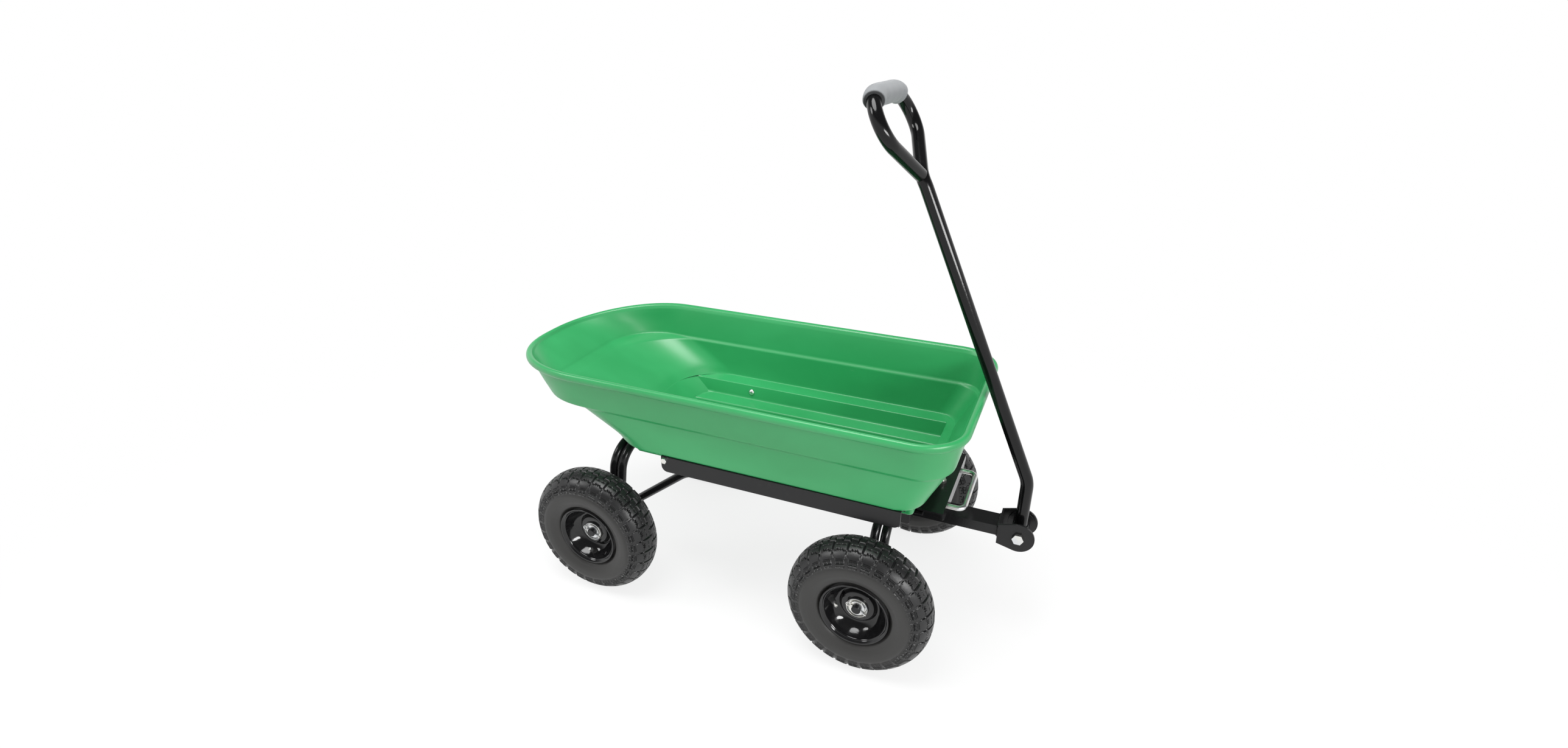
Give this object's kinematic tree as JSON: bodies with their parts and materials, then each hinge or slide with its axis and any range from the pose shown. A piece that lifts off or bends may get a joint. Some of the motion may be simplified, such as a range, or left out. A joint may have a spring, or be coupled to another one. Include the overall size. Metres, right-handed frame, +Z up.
{
  "type": "tipping dump cart",
  "caption": "Garden dump cart: a green moulded tub that tips over its rear axle, black steel frame, block-tread pneumatic tyres, steered by a looped pull handle with a foam grip.",
  "frame": {"origin": "On the ground, at the middle of the cart's length and width.", "axes": "+X points to the pull handle, +Y to the cart's left side, +Z up."},
  "size_m": [1.034, 0.4948, 0.9494],
  "materials": {
    "tub_green": "semi-gloss moulded polyethylene",
    "frame_black": "satin black powder coat",
    "rim_black": "gloss black enamel",
    "zinc": "bright zinc plate",
    "tyre_rubber": "matt black rubber, block tread",
    "valve_rubber": "matt black rubber",
    "grip_foam": "grey closed-cell foam"
  },
  "bodies": {
    "chassis": {"rear_axle": "frame_black", "rear_beam": "frame_black", "rear_arch_front": "frame_black", "rear_arch_back": "frame_black", "brace_left": "frame_black", "brace_right": "frame_black", "bolster": "frame_black", "front_rest": "frame_black", "rear_washers": "zinc", "rear_cotters": "zinc"},
    "steering": {"front_axle": "frame_black", "front_beam": "frame_black", "front_arch_front": "frame_black", "front_arch_back": "frame_black", "turntable": "frame_black", "kingpin": "zinc", "front_washers": "zinc", "front_cotters": "zinc", "tongue": "frame_black", "clevis": "frame_black", "clevis_bolt": "zinc"},
    "handle": {"handle_tube": "frame_black", "handle_bush": "frame_black", "handle_washers": "frame_black", "grip": "grip_foam"},
    "tub": {"tub": "tub_green", "rail_left": "frame_black", "rail_right": "frame_black", "rail_bolts": "zinc", "hinge_left": "frame_black", "hinge_right": "frame_black", "latch_plate": "frame_black", "latch_bolt": "zinc"},
    "latch": {"latch_loop": "zinc"},
    "rear_left_wheel": {"rear_left_tyre": "tyre_rubber", "rear_left_rim": "rim_black", "rear_left_hub": "rim_black", "rear_left_bearing": "zinc", "rear_left_valve": "valve_rubber"},
    "rear_right_wheel": {"rear_right_tyre": "tyre_rubber", "rear_right_rim": "rim_black", "rear_right_hub": "rim_black", "rear_right_bearing": "zinc", "rear_right_valve": "valve_rubber"},
    "front_left_wheel": {"front_left_tyre": "tyre_rubber", "front_left_rim": "rim_black", "front_left_hub": "rim_black", "front_left_bearing": "zinc", "front_left_valve": "valve_rubber"},
    "front_right_wheel": {"front_right_tyre": "tyre_rubber", "front_right_rim": "rim_black", "front_right_hub": "rim_black", "front_right_bearing": "zinc", "front_right_valve": "valve_rubber"}
  },
  "joints": [
    {"name": "rear_left_spin", "type": "hinge", "parent": "chassis", "child": "rear_left_wheel", "pos_m": [-0.283, 0.2075, 0.129], "axis": [0, 1, 0], "continuous": true},
    {"name": "rear_right_spin", "type": "hinge", "parent": "chassis", "child": "rear_right_wheel", "pos_m": [-0.283, -0.2075, 0.129], "axis": [0, 1, 0], "continuous": true},
    {"name": "front_left_spin", "type": "hinge", "parent": "steering", "child": "front_left_wheel", "pos_m": [0.258, 0.2075, 0.129], "axis": [0, 1, 0], "continuous": true},
    {"name": "front_right_spin", "type": "hinge", "parent": "steering", "child": "front_right_wheel", "pos_m": [0.258, -0.2075, 0.129], "axis": [0, 1, 0], "continuous": true},
    {"name": "steer", "type": "hinge", "parent": "chassis", "child": "steering", "pos_m": [0.258, 0, 0.218], "axis": [0, 0, 1], "range_deg": [-20, 20]},
    {"name": "handle_swing", "type": "hinge", "parent": "steering", "child": "handle", "pos_m": [0.489, 0, 0.207], "axis": [0, 1, 0], "range_deg": [0, 120]},
    {"name": "tub_tip", "type": "hinge", "parent": "chassis", "child": "tub", "pos_m": [-0.27465, 0, 0.27], "axis": [0, -1, 0], "range_deg": [0, 70]},
    {"name": "latch_pull", "type": "slide", "parent": "tub", "child": "latch", "axis": [1, 0, 0], "range_m": [0, 0.012], "stiffness_N_per_m": 800}
  ]
}
